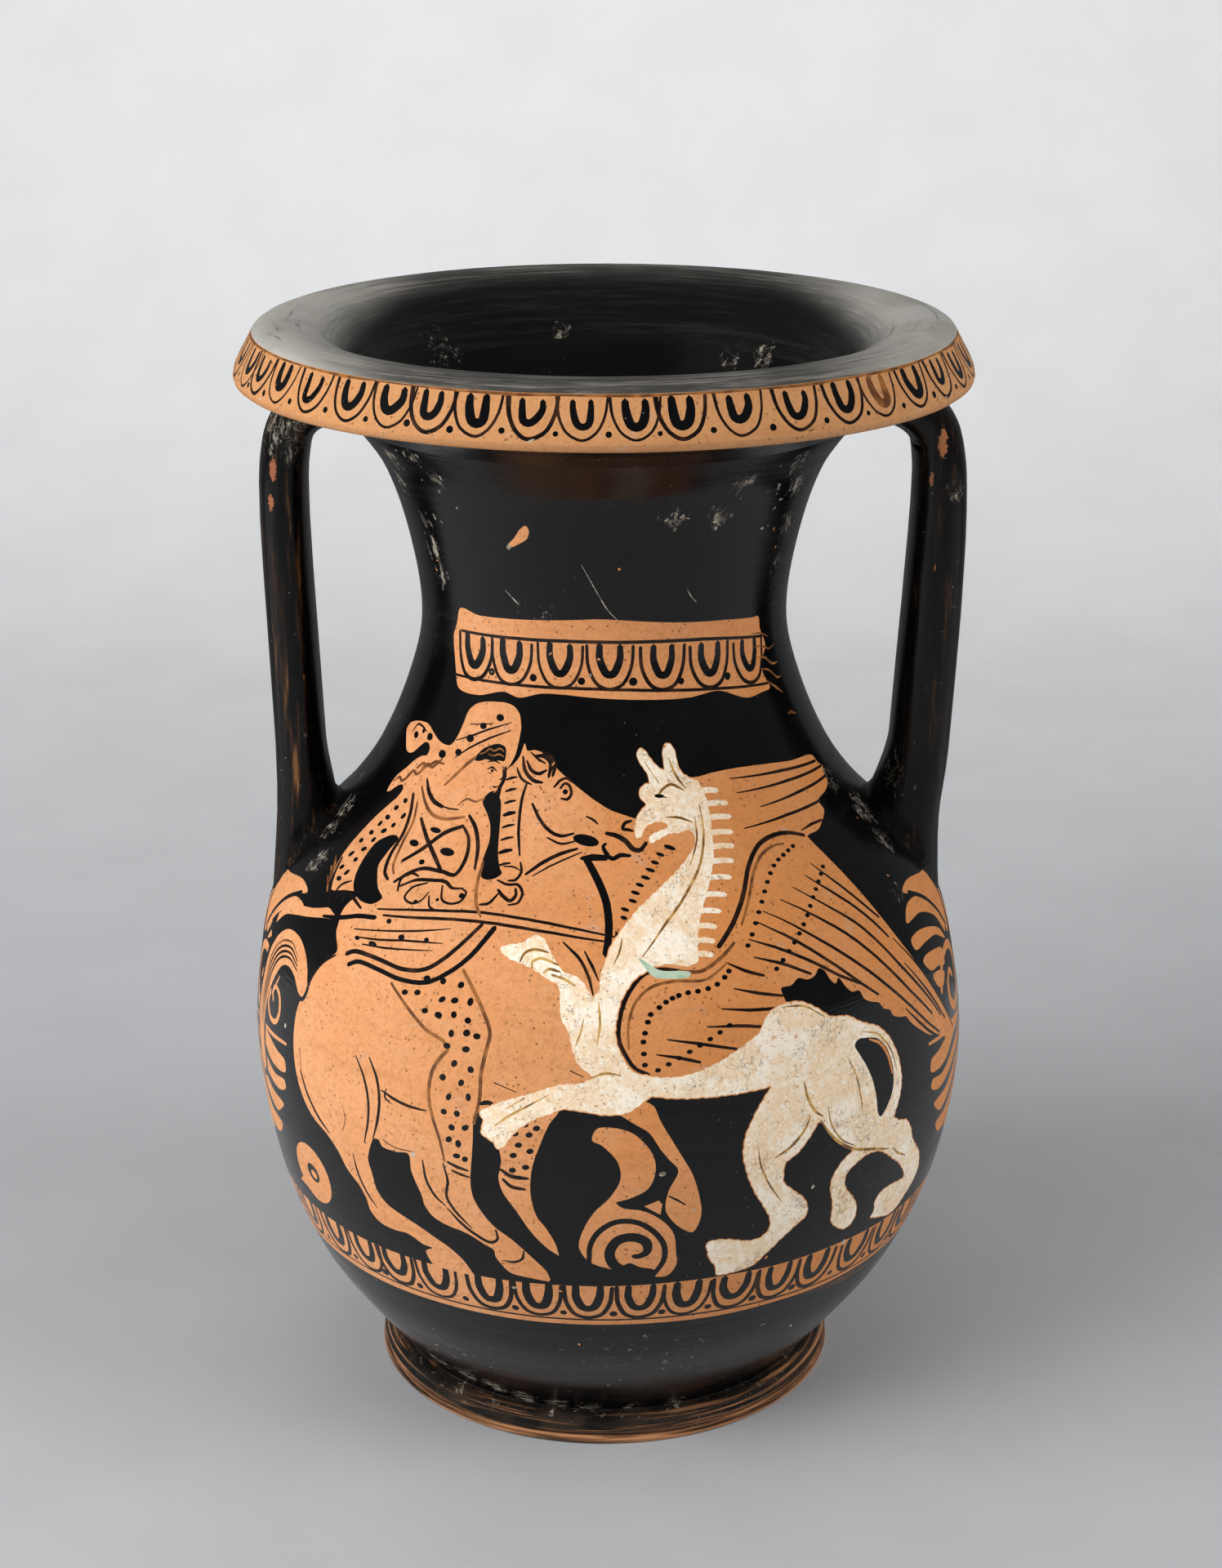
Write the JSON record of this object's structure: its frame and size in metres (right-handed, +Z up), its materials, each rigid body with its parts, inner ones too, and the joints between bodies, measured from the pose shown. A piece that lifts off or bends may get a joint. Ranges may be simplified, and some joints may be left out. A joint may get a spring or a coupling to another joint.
{
  "type": "pelike",
  "caption": "Hollow jar with a wide overhanging lip, narrow neck, round belly, ring foot and upright strap handles from lip to shoulder; black-gloss clay with a painted rider and griffin scene.",
  "frame": {"origin": "middle of the foot's standing ring, on the plane it stands on", "axes": "+Z up the jar's axis; -Y towards the painted front; the handles stand along X"},
  "size_m": [0.2257, 0.2256, 0.3411],
  "materials": {
    "black_gloss_clay": "semi-gloss black slip over orange clay"
  },
  "bodies": {
    "root": {"pelike": "black_gloss_clay"}
  },
  "joints": []
}
